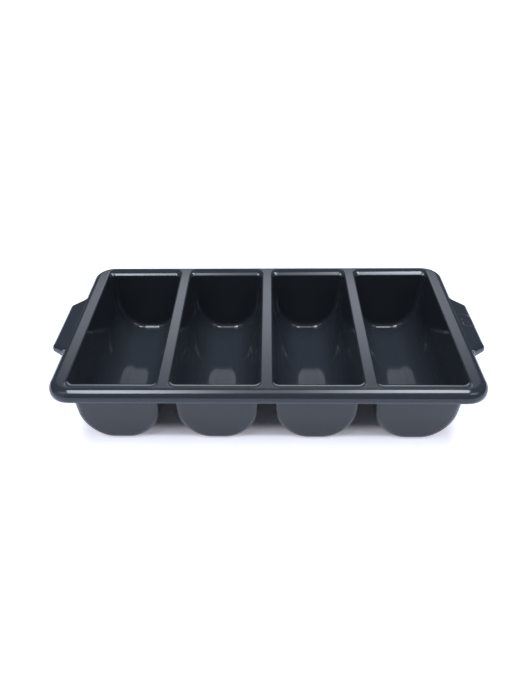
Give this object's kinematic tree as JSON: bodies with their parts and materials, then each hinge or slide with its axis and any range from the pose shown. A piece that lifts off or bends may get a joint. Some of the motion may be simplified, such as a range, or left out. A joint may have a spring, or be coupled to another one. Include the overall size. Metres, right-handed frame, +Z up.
{
  "type": "cutlery box",
  "caption": "Open-top cutlery box of dark glossy plastic with round-bottomed compartments side by side, a rolled rim and a grip at each end.",
  "frame": {"origin": "on the table, under the middle of the box", "axes": "+X along the length from the left grip to the right grip, +Y to the back, +Z up out of the open compartments"},
  "size_m": [0.5442, 0.2922, 0.095],
  "materials": {
    "moulding": "dark charcoal, moulded smooth and glossy"
  },
  "bodies": {
    "root": {"bin_1": "moulding", "bin_2": "moulding", "bin_3": "moulding", "bin_4": "moulding", "divider_1": "moulding", "divider_2": "moulding", "divider_3": "moulding", "front_rail": "moulding", "back_rail": "moulding", "left_rail": "moulding", "right_rail": "moulding", "left_grip": "moulding", "right_grip": "moulding"}
  },
  "joints": []
}
